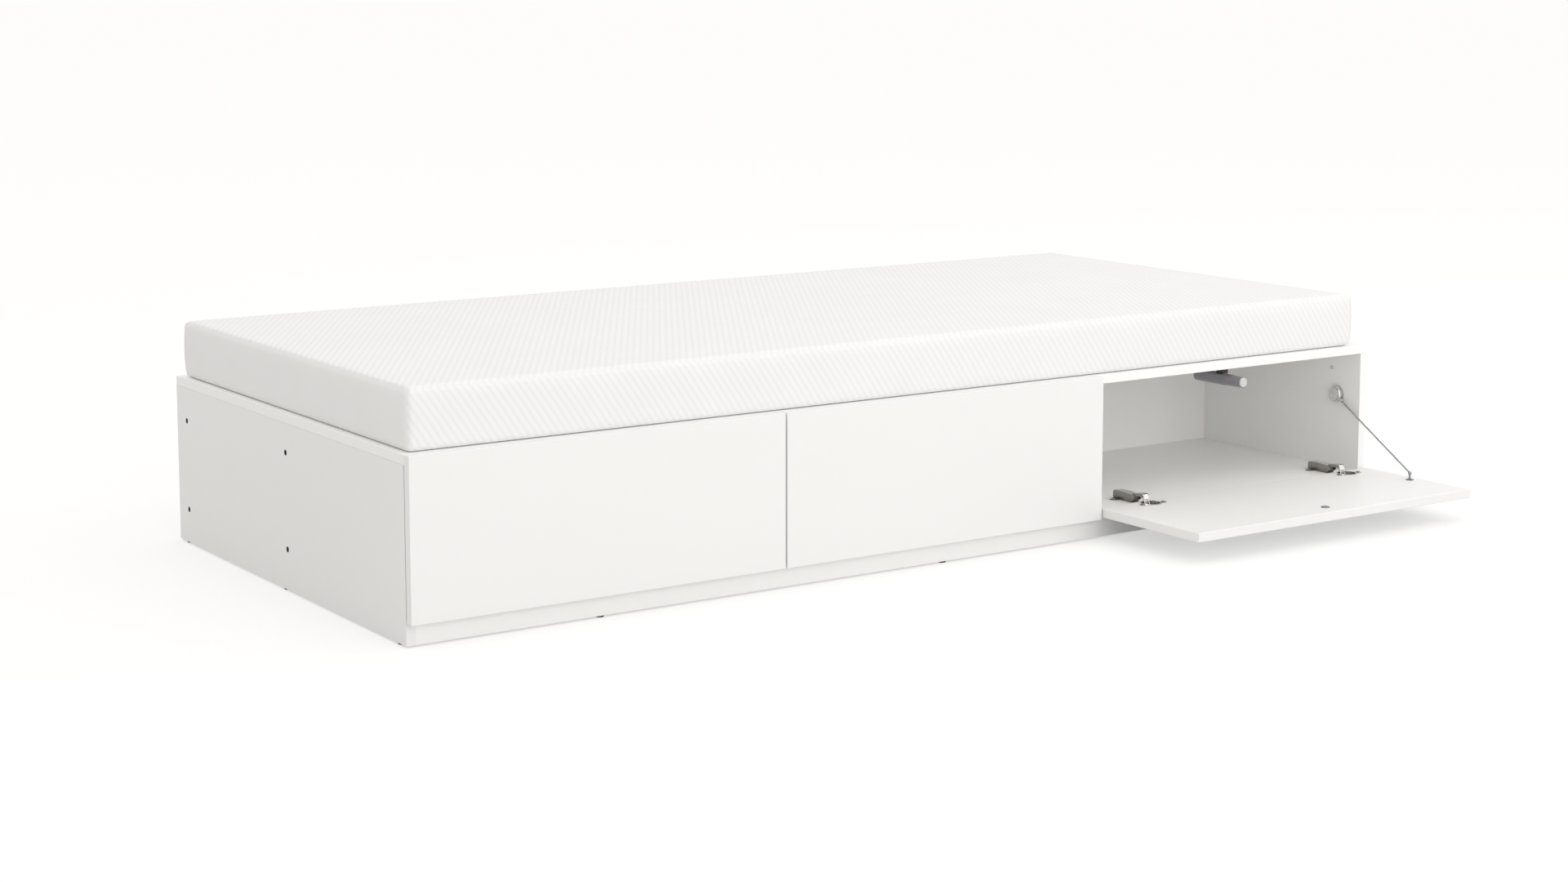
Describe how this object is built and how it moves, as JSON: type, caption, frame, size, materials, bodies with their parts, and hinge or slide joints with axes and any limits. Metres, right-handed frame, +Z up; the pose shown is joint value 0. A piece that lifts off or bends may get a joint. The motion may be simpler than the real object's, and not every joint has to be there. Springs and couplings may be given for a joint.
{
  "type": "storage bed",
  "caption": "Low storage bed: a white board box with bottom-hinged flap doors on cable stays, push latches and a foam mattress on its deck.",
  "frame": {"origin": "on the floor under the middle partition, half-way along the bed", "axes": "+X along the bed's length, with -Y to the side of the doors, +Z up"},
  "size_m": [2.05, 1.1856, 0.401],
  "materials": {
    "board": "smooth white foil-faced board",
    "mattress": "light grey knit ticking with fine diagonal ribs",
    "nickel": "nickel-plated pressed steel",
    "screw": "zinc-plated steel",
    "dark_screw": "dark burnished steel",
    "cable": "stranded steel wire",
    "grey_plastic": "satin blue-grey moulding",
    "black_plastic": "matt black moulding",
    "white_plastic": "satin white moulding",
    "dowel_wood": "raw beech"
  },
  "bodies": {
    "carcass": {"end_panel_left": "board", "end_panel_right": "board", "deck_panel": "board", "floor_panel": "board", "plinth_board": "board", "middle_partition": "board", "back_panel": "board", "divider_left": "board", "divider_right": "board", "end_panel_screws": "dark_screw", "wood_dowels": "dowel_wood", "floor_glides": "black_plastic", "hole_plugs": "white_plastic", "hinge_plate_screws": "screw", "mattress": "mattress", "hinge_arms_1": "nickel", "hinge_plates_1": "nickel", "stay_housing_1": "nickel", "stay_cable_1": "cable", "latch_barrel_1": "grey_plastic", "latch_bracket_1": "black_plastic", "hinge_arms_2": "nickel", "hinge_plates_2": "nickel", "stay_housing_2": "nickel", "stay_cable_2": "cable", "latch_barrel_2": "grey_plastic", "latch_bracket_2": "black_plastic", "hinge_arms_3": "nickel", "hinge_plates_3": "nickel", "stay_housing_3": "nickel", "stay_cable_3": "cable", "latch_barrel_3": "grey_plastic", "latch_bracket_3": "black_plastic"},
    "door_1": {"door_1": "board", "hinge_cups_1": "nickel", "door_screws_1": "screw", "strike_plate_1": "screw", "stay_bracket_1": "screw"},
    "front_links_1": {"front_links_1": "nickel"},
    "rear_links_1": {"rear_links_1": "nickel"},
    "latch_plunger_1": {"latch_plunger_1": "grey_plastic", "latch_cap_1": "white_plastic"},
    "door_2": {"door_2": "board", "hinge_cups_2": "nickel", "door_screws_2": "screw", "strike_plate_2": "screw", "stay_bracket_2": "screw"},
    "front_links_2": {"front_links_2": "nickel"},
    "rear_links_2": {"rear_links_2": "nickel"},
    "latch_plunger_2": {"latch_plunger_2": "grey_plastic", "latch_cap_2": "white_plastic"},
    "door_3": {"door_3": "board", "hinge_cups_3": "nickel", "door_screws_3": "screw", "strike_plate_3": "screw", "stay_bracket_3": "screw"},
    "front_links_3": {"front_links_3": "nickel"},
    "rear_links_3": {"rear_links_3": "nickel"},
    "latch_plunger_3": {"latch_plunger_3": "grey_plastic", "latch_cap_3": "white_plastic"}
  },
  "joints": [
    {"name": "door_1_hinge", "type": "hinge", "parent": "carcass", "child": "door_1", "pos_m": [-0.68433, -0.4549, 0.0453], "axis": [1, 0, 0], "range_deg": [0, 90], "deforming": ["stay_cable_1"]},
    {"name": "front_links_1_pivot", "type": "hinge", "parent": "carcass", "child": "front_links_1", "pos_m": [-0.68433, -0.4375, 0.0685], "axis": [1, 0, 0], "range_deg": [-13.16, 0]},
    {"name": "rear_links_1_pivot", "type": "hinge", "parent": "carcass", "child": "rear_links_1", "pos_m": [-0.68433, -0.45077, 0.06925], "axis": [1, 0, 0], "range_deg": [-25.03, 0]},
    {"name": "latch_plunger_1_slide", "type": "slide", "parent": "carcass", "child": "latch_plunger_1", "axis": [0, -1, 0], "range_m": [0, 0.017]},
    {"name": "door_2_hinge", "type": "hinge", "parent": "carcass", "child": "door_2", "pos_m": [0, -0.4549, 0.0453], "axis": [1, 0, 0], "range_deg": [0, 90], "deforming": ["stay_cable_2"]},
    {"name": "front_links_2_pivot", "type": "hinge", "parent": "carcass", "child": "front_links_2", "pos_m": [0, -0.4375, 0.0685], "axis": [1, 0, 0], "range_deg": [-13.16, 0]},
    {"name": "rear_links_2_pivot", "type": "hinge", "parent": "carcass", "child": "rear_links_2", "pos_m": [0, -0.45077, 0.06925], "axis": [1, 0, 0], "range_deg": [-25.03, 0]},
    {"name": "latch_plunger_2_slide", "type": "slide", "parent": "carcass", "child": "latch_plunger_2", "axis": [0, -1, 0], "range_m": [0, 0.017]},
    {"name": "door_3_hinge", "type": "hinge", "parent": "carcass", "child": "door_3", "pos_m": [0.68433, -0.4549, 0.0453], "axis": [1, 0, 0], "range_deg": [-90, 0], "deforming": ["stay_cable_3"]},
    {"name": "front_links_3_pivot", "type": "hinge", "parent": "carcass", "child": "front_links_3", "pos_m": [0.68433, -0.4375, 0.0685], "axis": [1, 0, 0], "range_deg": [0, 13.16]},
    {"name": "rear_links_3_pivot", "type": "hinge", "parent": "carcass", "child": "rear_links_3", "pos_m": [0.68433, -0.45077, 0.06925], "axis": [1, 0, 0], "range_deg": [0, 25.03]},
    {"name": "latch_plunger_3_slide", "type": "slide", "parent": "carcass", "child": "latch_plunger_3", "axis": [0, -1, 0], "range_m": [-0.017, 0]}
  ],
  "couplings": [
    {"joint": "front_links_1_pivot", "follows": "door_1_hinge", "ratio": -0.14627},
    {"joint": "rear_links_1_pivot", "follows": "door_1_hinge", "ratio": -0.27812},
    {"joint": "latch_plunger_1_slide", "follows": "door_1_hinge", "m_per_rad": 0.010823},
    {"joint": "front_links_2_pivot", "follows": "door_2_hinge", "ratio": -0.14627},
    {"joint": "rear_links_2_pivot", "follows": "door_2_hinge", "ratio": -0.27812},
    {"joint": "latch_plunger_2_slide", "follows": "door_2_hinge", "m_per_rad": 0.010823},
    {"joint": "front_links_3_pivot", "follows": "door_3_hinge", "ratio": -0.14627},
    {"joint": "rear_links_3_pivot", "follows": "door_3_hinge", "ratio": -0.27812},
    {"joint": "latch_plunger_3_slide", "follows": "door_3_hinge", "m_per_rad": 0.010823}
  ]
}
